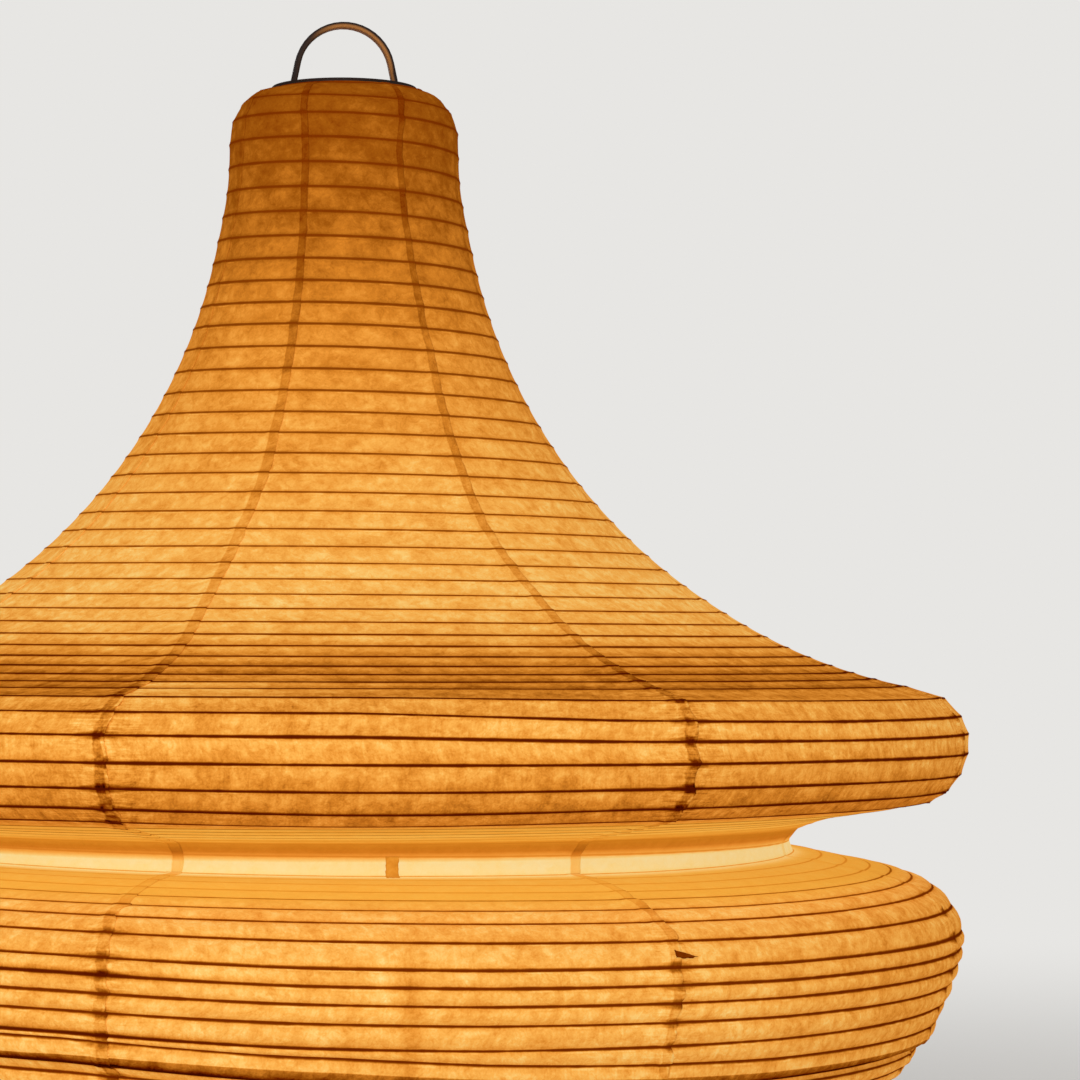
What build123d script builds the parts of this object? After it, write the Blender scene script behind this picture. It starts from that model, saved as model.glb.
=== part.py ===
from build123d import *
import math
import os

# Andon floor lamp: a pleated paper shade on bamboo ribs, stretched over a flat-bar frame that
# carries a lampholder. Millimetres, +Z up. The origin is on the floor, on the lamp's axis.
# The carrying handle lies in the XZ plane. Radii and heights are measured from the axis and floor.

# ---- driving dimensions: the paper shade ----
top_ring_radius = 31.7        # outer radius of the ring at the shade's mouth
neck_radius = 50.0            # paper at the top of the neck
shoulder_drop = 21.8          # from the ring's underside to the top of the neck
bell_reach = 240.0            # how far the bell's quarter ellipse spreads, neck to centre
bell_drop = 242.0             # how far it falls
lip_start_radius = 250.0      # where the flange rolls over into its lip
flange_radius = 270.0         # widest point of the upper tier
lip_half_height = 24.5        # height of the lip above and below its widest point
underside_radius = 199.0      # inner end of the flange's underside
underside_rise = 8.0          # fall of the underside from the lip to the waist
waist_radius = 192.5          # narrowest point between the tiers
waist_slope_height = 5.5      # short slope from the underside to the waist band
waist_band_height = 8.0       # the upright band of paper at the waist
tier_radius = 267.0           # widest point of the lower tier
tier_rise = 34.5              # from the lower tier's widest point up to the waist
bowl_depth = 129.0            # half height of the bowl's ellipse
bottom_ring_radius = 131.5    # outer radius of the ring at the shade's foot
bottom_ring_z = 42.41         # height of that ring's underside above the floor
paper_thickness = 0.4
paper_inset = 0.1             # paper's upper edge inside the top ring's rim
gore_count = 8                # upright strips of paper, glued edge over edge
rib_pitch = 10.45             # distance from rib to rib along the paper
rib_radius = 0.75             # split bamboo, round enough to draw as a wire
rib_gap = 0.06                # glue line between a rib and the paper
neck_ribs_end_z = 400.0       # where the rib groups part from each other
bell_ribs_end_radius = 165.0

# ---- driving dimensions: rings and frame ----
ring_thickness = 3.0          # radial thickness of both shade rings
top_ring_height = 2.2
bottom_ring_height = 3.0
bottom_ring_gap = 0.3         # paper edge above the bottom ring, which lifts on its own
bar_thickness = 2.6           # flat bar of the frame, measured radially
bar_width = 6.0
bar_edge = 0.7                # rounded edges of the bar
neck_bar_radius = 23.2        # middle of the uprights where they pass the top ring
handle_rise = 30.0            # middle of the bar at the handle's crown, above the top ring's underside
foot_bar_inset = 9.5          # middle of the uprights at the floor, inside the bottom ring's rim
lower_bend_rise = 7.6         # the uprights lean inward from this height above the bottom ring's underside
bend_radius = 40.0
strap_bend_radius = 1.5       # inside bend where a strap turns in under the crown plate
strap_flat = 6.5              # length of that turned-in end
crown_plate_thickness = 1.6
crown_plate_inset = 1.1       # how far the plate stops short of the top ring's outer radius
crown_hole_radius = 17.0
slot_gap = 0.1                # round the handle bar where it passes the crown plate
top_rivet_radius = 1.1
top_rivet_head_radius = 2.1
top_rivet_head_height = 1.0
foot_clearance = 3.0          # bar end above the floor, inside its rubber foot
base_ring_drop = 18.41        # from the bottom ring's underside down to the base ring's
base_ring_height = 10.0
base_ring_thickness = 2.0
plate_thickness = 2.5
plate_arm_width = 14.0
plate_disc_radius = 26.0
tab_thickness = 2.0
hem_seat_plate = 1.5
hem_seat_reach = 1.5          # how far a hem seat passes the bottom ring
hem_seat_drop = 12.0          # height of the seat's upright plate
rivet_radius = 1.5
rivet_head_radius = 3.0
rivet_head_height = 1.2
rivet_gap = 0.05              # between a rivet and its hole
face_gap = 0.05               # between a flat bar and the round ring behind it
foot_radius = 7.0
foot_height = 14.0
foot_floor = 2.6              # rubber under the bar's end
foot_gap = 0.1

# ---- driving dimensions: lampholder and bulb ----
stem_radius = 5.0             # threaded tube that carries the lampholder
stem_bore_radius = 3.2
stem_gap = 0.05
stem_length = 84.0
stem_below_plate = 15.0
nut_across_flats = 16.0
nut_height = 4.0
washer_radius = 10.0
washer_height = 1.2
gland_radius = 9.0
gland_height = 14.0
gland_bore_radius = 3.4
gland_engagement = 6.0        # thread length of the stem inside the gland
holder_radius = 20.0
holder_wall = 1.6
holder_cap_height = 20.0
holder_floor = 3.0
holder_ledge = 12.0           # height of the ledge that carries the ceramic insert
holder_ledge_radius = 14.5
holder_shell_height = 38.0
holder_lip_radius = 16.0      # rolled-in mouth of the shell
holder_lip_height = 2.0
holder_ring_radius = 27.0
holder_ring_height = 5.0
holder_ring_lift = 12.0
holder_gap = 0.1
insert_height = 10.0
thread_shell_radius = 14.2
thread_shell_wall = 0.8
thread_shell_height = 24.0
contact_radius = 4.0
contact_height = 2.5
terminal_radius = 2.2
terminal_height = 4.0
terminal_offset = 8.5
bulb_cap_radius = 13.1
bulb_cap_wall = 0.9
bulb_cap_height = 23.0
bulb_tip_radius = 3.5
bulb_tip_height = 1.2
bulb_insulator_height = 2.4
bulb_seat_gap = 0.3           # bulb tip above its contact
globe_radius = 30.0
globe_neck_radius = 14.5
globe_neck_height = 8.0
globe_wall = 1.0
globe_centre_lift = 46.0      # globe centre above the bulb's cap
filament_count = 4
filament_radius = 1.0
filament_length = 30.0
filament_offset = 5.0
bulb_stem_radius = 3.0
bulb_stem_length = 26.0

# ---- heights and radii that follow from them ----
paper_foot_radius = bottom_ring_radius - ring_thickness / 2
paper_foot_z = bottom_ring_z + bottom_ring_height + bottom_ring_gap
bowl_end_angle = math.acos(paper_foot_radius / tier_radius)
tier_z = paper_foot_z + bowl_depth * math.sin(bowl_end_angle)
waist_bottom_z = tier_z + tier_rise
waist_top_z = waist_bottom_z + waist_band_height
underside_z = waist_top_z + waist_slope_height
lip_bottom_z = underside_z + underside_rise
flange_z = lip_bottom_z + lip_half_height
lip_top_z = flange_z + lip_half_height
bell_centre_radius = neck_radius + bell_reach
lip_top_share = (bell_centre_radius - lip_start_radius) / bell_reach
neck_z = lip_top_z + bell_drop * math.sqrt(1 - lip_top_share**2)
top_ring_z = neck_z + shoulder_drop
foot_bar_radius = bottom_ring_radius - foot_bar_inset
base_ring_z = bottom_ring_z - base_ring_drop
lower_bend_z = bottom_ring_z + lower_bend_rise
bar_slope = (foot_bar_radius - neck_bar_radius) / (top_ring_z - lower_bend_z)
bar_lean = math.atan(bar_slope)
crown_corner_z = lower_bend_z + foot_bar_radius / bar_slope
crown_bend = (crown_corner_z - top_ring_z - handle_rise) / (1 / math.sin(bar_lean) - 1)
foot_bar_inner = foot_bar_radius - bar_thickness / 2
foot_bar_outer = foot_bar_radius + bar_thickness / 2
crown_plate_z = top_ring_z - crown_plate_thickness
strap_top_z = crown_plate_z - bar_thickness / 2
strap_corner_radius = neck_bar_radius + bar_slope * (top_ring_z - strap_top_z)
strap_end_radius = strap_corner_radius - strap_flat
top_rivet_at = strap_end_radius + top_rivet_head_radius
base_ring_outer = foot_bar_inner - face_gap
base_ring_inner = base_ring_outer - base_ring_thickness
base_rivet_z = base_ring_z + base_ring_height / 2
plate_z = base_ring_z + base_ring_height
plate_top_z = plate_z + plate_thickness
tab_outer = base_ring_inner - face_gap
stem_z = plate_z - stem_below_plate
holder_z = stem_z + stem_length - holder_floor - nut_height
insert_z = holder_z + holder_ledge
insert_top_z = insert_z + insert_height
shell_z = holder_z + holder_cap_height
bulb_z = insert_top_z + contact_height + bulb_seat_gap
bulb_cap_z = bulb_z + bulb_tip_height + bulb_insulator_height
globe_z = bulb_cap_z + bulb_cap_height
globe_centre_z = globe_z + globe_centre_lift


# ---- the shade's profile: each stretch is a curve of (radius, height) for a share from 0 to 1 ----
def shoulder(share):
    """Quarter ellipse from the top ring, out and down to the upright neck."""
    angle = share * math.pi / 2
    start = top_ring_radius - paper_inset
    radius = start + (neck_radius - start) * math.sin(angle)
    return radius, neck_z + shoulder_drop * math.cos(angle)


def bell(share):
    """Neck and bell in one sweep: a quarter ellipse whose centre is outside the paper."""
    angle = share * math.acos(lip_top_share)
    radius = bell_centre_radius - bell_reach * math.cos(angle)
    return radius, neck_z - bell_drop * math.sin(angle)


def lip(share):
    """The flange rolls over its widest point and back in under itself."""
    angle = math.pi / 2 - share * math.pi
    reach = flange_radius - lip_start_radius
    return lip_start_radius + reach * math.cos(angle), flange_z + lip_half_height * math.sin(angle)


def straight(start, end):
    """A straight stretch between two points."""
    def stretch(share):
        return tuple(a + share * (b - a) for a, b in zip(start, end))
    return stretch


def tier(share):
    """Top of the lower tier, from the waist out to its widest point."""
    angle = math.pi / 2 * (1 - share)
    reach = tier_radius - waist_radius
    return waist_radius + reach * math.cos(angle), tier_z + tier_rise * math.sin(angle)


def bowl(share):
    """The lower tier draws in towards the bottom ring."""
    angle = share * bowl_end_angle
    return tier_radius * math.cos(angle), tier_z - bowl_depth * math.sin(angle)


underside = straight((lip_start_radius, lip_bottom_z), (underside_radius, underside_z))
waist_slope = straight((underside_radius, underside_z), (waist_radius, waist_top_z))
waist_band = straight((waist_radius, waist_top_z), (waist_radius, waist_bottom_z))
stretches = [shoulder, bell, lip, underside, waist_slope, waist_band, tier, bowl]


def spaced(curve, pitch, steps=400):
    """Points along a stretch, evenly spaced at the nearest whole number of pitches."""
    fine = [curve(step / steps) for step in range(steps + 1)]
    lengths = [0.0]
    for before, after in zip(fine, fine[1:]):
        lengths.append(lengths[-1] + math.dist(before, after))
    count = max(1, round(lengths[-1] / pitch))
    found, at = [], 0
    for number in range(count):
        while lengths[at] < lengths[-1] * number / count:
            at += 1
        found.append(fine[at])
    return found


def inward(points, number, distance):
    """The point that lies a given distance inside the paper's corner of that number."""
    before = points[max(number - 1, 0)]
    after = points[min(number + 1, len(points) - 1)]
    run, fall = after[0] - before[0], after[1] - before[1]
    length = math.hypot(run, fall)
    radius, height = points[number]
    return radius + distance * fall / length, height - distance * run / length


rib_points = [point for stretch in stretches for point in spaced(stretch, rib_pitch)]
rib_points.append(bowl(1))


def rib_group(radius, height):
    """Name of the group that a rib belongs to."""
    if height > neck_ribs_end_z:
        return "neck_ribs"
    if height > lip_top_z and radius < bell_ribs_end_radius:
        return "bell_ribs"
    if height > flange_z:
        return "flange_ribs"
    if height > underside_z:
        return "underside_ribs"
    if height > waist_bottom_z - rib_radius:
        return "waist_ribs"
    if height > tier_z:
        return "tier_ribs"
    return "bowl_ribs"


# ---- helpers ----
def at_quarters(solid):
    """The same solid at the four uprights."""
    return [Rot(0, 0, 90 * number) * solid for number in range(4)]


def tube(outer, inner, low, height):
    """An upright tube on the axis."""
    ring = Circle(outer) - Circle(inner)
    return Pos(0, 0, low) * extrude(ring, height)


def rod(radius, low, height, x=0.0, y=0.0):
    """An upright round rod."""
    return Pos(x, y, low) * extrude(Circle(radius), height)


def block(x_low, x_high, y_width, z_low, z_high):
    """A box that is centred on the XZ plane."""
    size = Box(x_high - x_low, y_width, z_high - z_low)
    return Pos((x_low + x_high) / 2, 0, (z_low + z_high) / 2) * size


def radial_rod(radius, x_low, x_high, height):
    """A round rod that points outward along +X."""
    return Pos(x_low, 0, height) * Rot(0, 90, 0) * extrude(Circle(radius), x_high - x_low)


def radial_holes(height, reach):
    """Four rivet holes round the axis at one height."""
    hole = radial_rod(rivet_radius + rivet_gap, 0, reach, height)
    return at_quarters(hole)


def rivet(x_low, x_high, height):
    """A rivet whose two heads clamp what lies between x_low and x_high."""
    shank = radial_rod(rivet_radius, x_low - rivet_head_height, x_high + rivet_head_height, height)
    inner = radial_rod(rivet_head_radius, x_low - rivet_head_height, x_low, height)
    outer = radial_rod(rivet_head_radius, x_high, x_high + rivet_head_height, height)
    return shank + inner + outer


def save(name, solids):
    """Write one node, made of one solid or several."""
    group = solids if isinstance(solids, list) else [solids]
    pieces = [solid for shape in group for solid in shape.solids()]
    for piece in pieces:
        piece.label = name
    export_step(pieces[0] if len(pieces) == 1 else Compound(children=pieces), f"parts/{name}.step")


# ---- paper and ribs ----
def paper_panel(number):
    """One gore: the profile's strip, turned through its share of the circle."""
    inner = [inward(rib_points, at, paper_thickness) for at in range(len(rib_points))]
    outline = [(radius, 0, height) for radius, height in rib_points + inner[::-1]]
    wire = Polyline(*outline, close=True)
    angle = 360 / gore_count
    panel = revolve(Face(Wire(wire.edges())), axis=Axis.Z, revolution_arc=angle)
    return Rot(0, 0, angle * number + angle / 2 - 90) * panel


def ribs():
    """Every rib as a ring just inside the paper, sorted into named groups."""
    groups = {}
    for number in range(1, len(rib_points) - 1):
        radius, height = inward(rib_points, number, paper_thickness + rib_gap + rib_radius)
        ring = Pos(0, 0, height) * Torus(radius, rib_radius)
        groups.setdefault(rib_group(*rib_points[number]), []).append(ring)
    return groups


# ---- frame ----
def bar_section():
    """Cross-section of the flat bar, lying in the XY plane with its width along Y."""
    return RectangleRounded(bar_thickness, bar_width, bar_edge)


def handle_bar():
    """Two leaning uprights and the handle between them, bent from one flat bar."""
    side = [(foot_bar_radius, 0, foot_clearance), (foot_bar_radius, 0, lower_bend_z)]
    other = [(-x, y, z) for x, y, z in side[::-1]]
    crown = (0, 0, crown_corner_z)
    path = FilletPolyline(*side, crown, *other, radius=[bend_radius, crown_bend, bend_radius])
    bar = sweep(Pos(*side[0]) * bar_section(), path=Wire(path.edges()))
    return bar - radial_holes(base_rivet_z, foot_bar_outer + 1)


def strap():
    """A leaning upright whose top turns inward under the crown plate."""
    side = [
        (foot_bar_radius, 0, foot_clearance),
        (foot_bar_radius, 0, lower_bend_z),
        (strap_corner_radius, 0, strap_top_z),
        (strap_end_radius, 0, strap_top_z),
    ]
    path = FilletPolyline(*side, radius=[bend_radius, strap_bend_radius + bar_thickness / 2])
    bar = sweep(Pos(*side[0]) * bar_section(), path=Wire(path.edges()))
    hole = rod(top_rivet_radius + rivet_gap, strap_top_z - bar_thickness, 2 * bar_thickness, top_rivet_at)
    return bar - radial_holes(base_rivet_z, foot_bar_outer + 1) - hole


def crown_plate():
    """Flat ring on the straps: the shade's top ring rests on it and the handle bar passes it."""
    radius = top_ring_radius - crown_plate_inset
    plate = tube(radius, crown_hole_radius, crown_plate_z, crown_plate_thickness)
    middle = neck_bar_radius + bar_slope * crown_plate_thickness / 2
    length = bar_thickness / math.cos(bar_lean) + bar_slope * crown_plate_thickness + 2 * slot_gap
    low, high = middle - length / 2, middle + length / 2
    slot = block(low, high, bar_width + 2 * slot_gap, crown_plate_z, top_ring_z)
    hole = rod(top_rivet_radius + rivet_gap, crown_plate_z, crown_plate_thickness, top_rivet_at)
    for turn in (0, 180):
        plate -= Rot(0, 0, turn) * slot
        plate -= Rot(0, 0, turn + 90) * hole
    return plate


def top_rivet():
    """Upright rivet through the crown plate and a strap's turned-in end."""
    low = strap_top_z - bar_thickness / 2
    shank = rod(top_rivet_radius, low, top_ring_z - low, top_rivet_at)
    under = rod(top_rivet_head_radius, low - top_rivet_head_height, top_rivet_head_height, top_rivet_at)
    over = rod(top_rivet_head_radius, top_ring_z, top_rivet_head_height, top_rivet_at)
    return shank + under + over


def hem_seat():
    """Small angle on the foot of an upright that the bottom ring rests on."""
    reach = bottom_ring_radius + hem_seat_reach
    low = base_rivet_z - hem_seat_drop / 2
    ledge = block(foot_bar_outer, reach, bar_width, bottom_ring_z - hem_seat_plate, bottom_ring_z)
    plate = block(foot_bar_outer, foot_bar_outer + hem_seat_plate, bar_width, low, bottom_ring_z)
    return ledge + plate - radial_holes(base_rivet_z, reach)


def base_plate():
    """Cross-shaped plate on the base ring, with a tab turned down inside it at each arm."""
    arms = Rectangle(2 * tab_outer, plate_arm_width) + Rectangle(plate_arm_width, 2 * tab_outer)
    plate = extrude(arms + Circle(plate_disc_radius) - Circle(stem_radius + stem_gap), plate_thickness)
    tab = block(tab_outer - tab_thickness, tab_outer, plate_arm_width, base_ring_z, plate_z)
    plate = Pos(0, 0, plate_z) * plate
    for piece in at_quarters(tab):
        plate += piece
    # trim the square ends to the ring's curve
    plate = plate & rod(tab_outer, base_ring_z, plate_top_z - base_ring_z)
    return plate - radial_holes(base_rivet_z, tab_outer)


def foot():
    """Rubber foot that the bar's end is pressed into."""
    body = fillet(rod(foot_radius, 0, foot_height, foot_bar_radius).edges(), 1.2)
    slot = RectangleRounded(bar_thickness + 2 * foot_gap, bar_width + 2 * foot_gap, bar_edge)
    return body - Pos(foot_bar_radius, 0, foot_floor) * extrude(slot, foot_height)


# ---- lampholder and bulb ----
def nut(low):
    """Thin hexagon nut on the stem."""
    face = RegularPolygon(nut_across_flats / 2, 6, major_radius=False) - Circle(stem_radius + stem_gap)
    return Pos(0, 0, low) * extrude(face, nut_height)


def gland():
    """Cord inlet: a domed cap under the stem, with a smooth bore for a cord."""
    low = stem_z + gland_engagement - gland_height
    body = fillet(rod(gland_radius, low, gland_height).edges().group_by(Axis.Z)[0], 3)
    socket = rod(stem_radius + stem_gap, stem_z, gland_engagement)
    return body - rod(gland_bore_radius, low, gland_height) - socket


def holder_cap():
    """Round-bottomed cup that closes the lampholder and is clamped to the stem."""
    cup = fillet(rod(holder_radius, holder_z, holder_cap_height).edges().group_by(Axis.Z)[0], 5)
    cup -= rod(stem_radius + stem_gap, holder_z, holder_cap_height)
    cup -= rod(holder_ledge_radius, holder_z + holder_floor, holder_cap_height)
    return cup - rod(holder_radius - holder_wall, insert_z, holder_cap_height)


def holder_shell():
    """Tube above the cup, with a rolled-in mouth round the bulb's cap."""
    top = shell_z + holder_shell_height
    shell = tube(holder_radius, holder_radius - holder_wall, shell_z, holder_shell_height)
    return shell + tube(holder_radius, holder_lip_radius, top - holder_lip_height, holder_lip_height)


def insert():
    """Ceramic disc on the cup's ledge, bored for its two terminals."""
    disc = rod(holder_radius - holder_wall - holder_gap, insert_z, insert_height)
    for side in (-1, 1):
        disc -= rod(terminal_radius / 2 + stem_gap, insert_z, insert_height, side * terminal_offset)
    return disc


def terminal(side):
    """Terminal screw under the ceramic disc."""
    x = side * terminal_offset
    head = rod(terminal_radius, insert_z - terminal_height / 2, terminal_height / 2, x)
    return head + rod(terminal_radius / 2, insert_z, insert_height, x)


def globe_form(radius, neck, low):
    """Solid of revolution of a pear-shaped bulb."""
    neck_top = (neck, globe_z + globe_neck_height)
    # the flank is a straight line from the neck's top to where it touches the sphere
    run, rise = neck, globe_centre_z - neck_top[1]
    distance = math.hypot(run, rise)
    angle = math.asin(radius / distance) - math.atan2(run, rise)
    touch = (radius * math.cos(angle), globe_centre_z - radius * math.sin(angle))
    middle = (angle - math.pi / 2) / 2
    over = (radius * math.cos(middle), globe_centre_z - radius * math.sin(middle))
    side = Polyline((0, low), (neck, low), neck_top, touch)
    crown = ThreePointArc(touch, over, (0, globe_centre_z + radius))
    axis = Line((0, globe_centre_z + radius), (0, low))
    face = Face(Wire(side.edges() + crown.edges() + axis.edges()))
    return revolve(Plane.XZ * face, axis=Axis.Z)


def globe():
    """Glass of the bulb, open below where the cap closes it."""
    outer = globe_form(globe_radius, globe_neck_radius, globe_z)
    inner = globe_form(globe_radius - globe_wall, globe_neck_radius - globe_wall, globe_z - 1)
    return outer - inner


def bulb_cap():
    """Screw cap: a cup with its floor on the insulator and a flange under the glass."""
    cup = rod(bulb_cap_radius, bulb_cap_z, bulb_cap_height)
    cup -= rod(bulb_cap_radius - bulb_cap_wall, bulb_cap_z + bulb_cap_wall, bulb_cap_height)
    disc = rod(globe_neck_radius, globe_z - bulb_cap_wall, bulb_cap_wall)
    return cup + disc


def filament(number):
    """One upright filament of the bulb."""
    angle = 2 * math.pi * number / filament_count
    x, y = filament_offset * math.cos(angle), filament_offset * math.sin(angle)
    return rod(filament_radius, globe_z + bulb_stem_length, filament_length, x, y)


def bulb_stem():
    """Glass stem with a disc that carries the filaments."""
    disc_height = 2.0
    disc_radius = filament_offset + filament_radius
    stem = rod(bulb_stem_radius, globe_z, bulb_stem_length)
    return stem + rod(disc_radius, globe_z + bulb_stem_length - disc_height, disc_height)


def main():
    os.makedirs("parts", exist_ok=True)

    for number in range(gore_count):
        save(f"paper_panel_{number + 1}", paper_panel(number))
    for name, rings in ribs().items():
        save(name, rings)
    save("top_ring", tube(top_ring_radius, top_ring_radius - ring_thickness, top_ring_z, top_ring_height))
    bottom = tube(bottom_ring_radius, bottom_ring_radius - ring_thickness, bottom_ring_z, bottom_ring_height)
    save("bottom_ring", bottom)

    save("handle_bar", handle_bar())
    save("front_strap", Rot(0, 0, -90) * strap())
    save("rear_strap", Rot(0, 0, 90) * strap())
    save("crown_plate", crown_plate())
    save("crown_rivets", [Rot(0, 0, turn) * top_rivet() for turn in (-90, 90)])
    base = tube(base_ring_outer, base_ring_inner, base_ring_z, base_ring_height)
    save("base_ring", base - radial_holes(base_rivet_z, foot_bar_outer))
    save("base_plate", base_plate())
    save("bottom_ring_seats", at_quarters(hem_seat()))
    save("feet", at_quarters(foot()))
    base_rivet = rivet(tab_outer - tab_thickness, foot_bar_outer + hem_seat_plate, base_rivet_z)
    save("base_rivets", at_quarters(base_rivet))

    stem = tube(stem_radius, stem_bore_radius, stem_z, stem_length)
    save("stem_tube", stem)
    save("stem_lower_nut", nut(plate_z - nut_height))
    washer = tube(washer_radius, stem_radius + stem_gap, plate_top_z, washer_height)
    save("stem_washer", washer)
    save("stem_upper_nut", nut(plate_top_z + washer_height))
    save("cord_gland", gland())
    save("holder_cap", holder_cap())
    save("holder_under_nut", nut(holder_z - nut_height))
    save("holder_nut", nut(holder_z + holder_floor))
    save("holder_shell", holder_shell())
    ring_z = shell_z + holder_ring_lift
    save("holder_ring", tube(holder_ring_radius, holder_radius + holder_gap, ring_z, holder_ring_height))
    save("ceramic_insert", insert())
    save("terminal_screws", [terminal(-1), terminal(1)])
    shell_inner = thread_shell_radius - thread_shell_wall
    save("thread_shell", tube(thread_shell_radius, shell_inner, insert_top_z, thread_shell_height))
    save("centre_contact", rod(contact_radius, insert_top_z, contact_height))

    save("bulb_tip", rod(bulb_tip_radius, bulb_z, bulb_tip_height))
    insulator = Pos(0, 0, bulb_z + bulb_tip_height) * Solid.make_cone(
        bulb_tip_radius + 2, bulb_cap_radius - bulb_cap_wall, bulb_insulator_height
    )
    save("bulb_insulator", insulator)
    save("bulb_cap", bulb_cap())
    save("bulb_globe", globe())
    save("bulb_stem", bulb_stem())
    save("bulb_filaments", [filament(number) for number in range(filament_count)])


main()
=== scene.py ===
import math

import bmesh
import bpy
import numpy as np
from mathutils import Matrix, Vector


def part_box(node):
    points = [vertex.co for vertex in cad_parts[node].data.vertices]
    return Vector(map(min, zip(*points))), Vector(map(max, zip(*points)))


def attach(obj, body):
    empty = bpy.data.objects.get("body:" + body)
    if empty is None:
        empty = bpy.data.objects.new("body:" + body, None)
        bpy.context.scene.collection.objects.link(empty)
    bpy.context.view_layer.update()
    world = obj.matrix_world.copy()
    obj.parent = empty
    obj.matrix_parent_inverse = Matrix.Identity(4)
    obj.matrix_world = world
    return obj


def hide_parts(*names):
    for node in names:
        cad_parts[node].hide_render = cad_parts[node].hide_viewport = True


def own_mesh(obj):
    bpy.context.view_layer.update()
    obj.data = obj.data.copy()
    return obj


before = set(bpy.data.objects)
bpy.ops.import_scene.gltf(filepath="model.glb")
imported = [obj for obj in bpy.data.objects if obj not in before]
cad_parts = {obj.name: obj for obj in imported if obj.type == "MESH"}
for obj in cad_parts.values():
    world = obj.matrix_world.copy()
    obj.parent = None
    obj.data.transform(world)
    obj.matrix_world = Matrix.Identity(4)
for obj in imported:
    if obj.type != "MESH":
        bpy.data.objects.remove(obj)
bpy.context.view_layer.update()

# Metres. The lamp stands on the floor with its axis on Z; angles round it are measured from -Y
# (the front) towards +X. The shade is one bamboo spiral with eight washi gores glued over it.
# A place counts the solids' rib pitches down the profile, a turn counts the spiral's turns.
MM = 0.001
IN_MM = 1000  # a length in metres times this is in mm
TINY = 1e-7  # divisors are kept above 0 with this
ROUNDING = 1e-6

# ---- the shade's profile, the same dimensions as the solids ----
MOUTH_RADIUS = 0.03195  # outer face of the paper, which laps up over the ring
MOUTH_Z = 0.5238
HEM = 0.0006
NECK_RADIUS = 0.050
SHOULDER_DROP = 0.0218
BELL_REACH = 0.240
BELL_DROP = 0.242
LIP_START_RADIUS = 0.250
FLANGE_RADIUS = 0.270
LIP_HALF_HEIGHT = 0.0245
UNDERSIDE_RADIUS = 0.199
UNDERSIDE_FALL = 0.008
WAIST_RADIUS = 0.1925
WAIST_SLOPE = 0.0055
WAIST_BAND = 0.008
TIER_RADIUS = 0.267
TIER_RISE = 0.0345
BOWL_DEPTH = 0.129
PAPER_FOOT_RADIUS = 0.130
RIB_PITCH = 0.01045
GORES = 8
GORE_DEGREES = 360 / GORES
OVERLAP = 0.0045
PAPER = 0.0002
RIB_RADIUS = 0.00075

NECK_Z = MOUTH_Z - SHOULDER_DROP
BELL_CENTRE = NECK_RADIUS + BELL_REACH
LIP_SHARE = (BELL_CENTRE - LIP_START_RADIUS) / BELL_REACH
LIP_TOP_Z = NECK_Z - BELL_DROP * math.sqrt(1 - LIP_SHARE**2)
FLANGE_Z = LIP_TOP_Z - LIP_HALF_HEIGHT
LIP_BOTTOM_Z = FLANGE_Z - LIP_HALF_HEIGHT
UNDERSIDE_Z = LIP_BOTTOM_Z - UNDERSIDE_FALL
WAIST_TOP_Z = UNDERSIDE_Z - WAIST_SLOPE
WAIST_BOTTOM_Z = WAIST_TOP_Z - WAIST_BAND
TIER_Z = WAIST_BOTTOM_Z - TIER_RISE
BOWL_END = math.acos(PAPER_FOOT_RADIUS / TIER_RADIUS)


def shoulder(share):
    angle = share * math.pi / 2
    reach = NECK_RADIUS - MOUTH_RADIUS
    return MOUTH_RADIUS + reach * math.sin(angle), NECK_Z + SHOULDER_DROP * math.cos(angle)


def bell(share):
    angle = share * math.acos(LIP_SHARE)
    return BELL_CENTRE - BELL_REACH * math.cos(angle), NECK_Z - BELL_DROP * math.sin(angle)


def lip(share):
    angle = math.pi / 2 - share * math.pi
    reach = FLANGE_RADIUS - LIP_START_RADIUS
    return LIP_START_RADIUS + reach * math.cos(angle), FLANGE_Z + LIP_HALF_HEIGHT * math.sin(angle)


def straight(start, end):
    return lambda share: tuple(a + share * (b - a) for a, b in zip(start, end))


def tier(share):
    angle = math.pi / 2 * (1 - share)
    reach = TIER_RADIUS - WAIST_RADIUS
    return WAIST_RADIUS + reach * math.cos(angle), TIER_Z + TIER_RISE * math.sin(angle)


def bowl(share):
    angle = share * BOWL_END
    return TIER_RADIUS * math.cos(angle), TIER_Z - BOWL_DEPTH * math.sin(angle)


STRETCHES = [
    straight((MOUTH_RADIUS, MOUTH_Z + HEM), (MOUTH_RADIUS, MOUTH_Z)), shoulder, bell, lip,
    straight((LIP_START_RADIUS, LIP_BOTTOM_Z), (UNDERSIDE_RADIUS, UNDERSIDE_Z)),
    straight((UNDERSIDE_RADIUS, UNDERSIDE_Z), (WAIST_RADIUS, WAIST_TOP_Z)),
    straight((WAIST_RADIUS, WAIST_TOP_Z), (WAIST_RADIUS, WAIST_BOTTOM_Z)),
    tier, bowl,
]
STRETCH_STEPS = 200
FIRST_PLACE = -0.1  # the hem over the top ring


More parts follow.
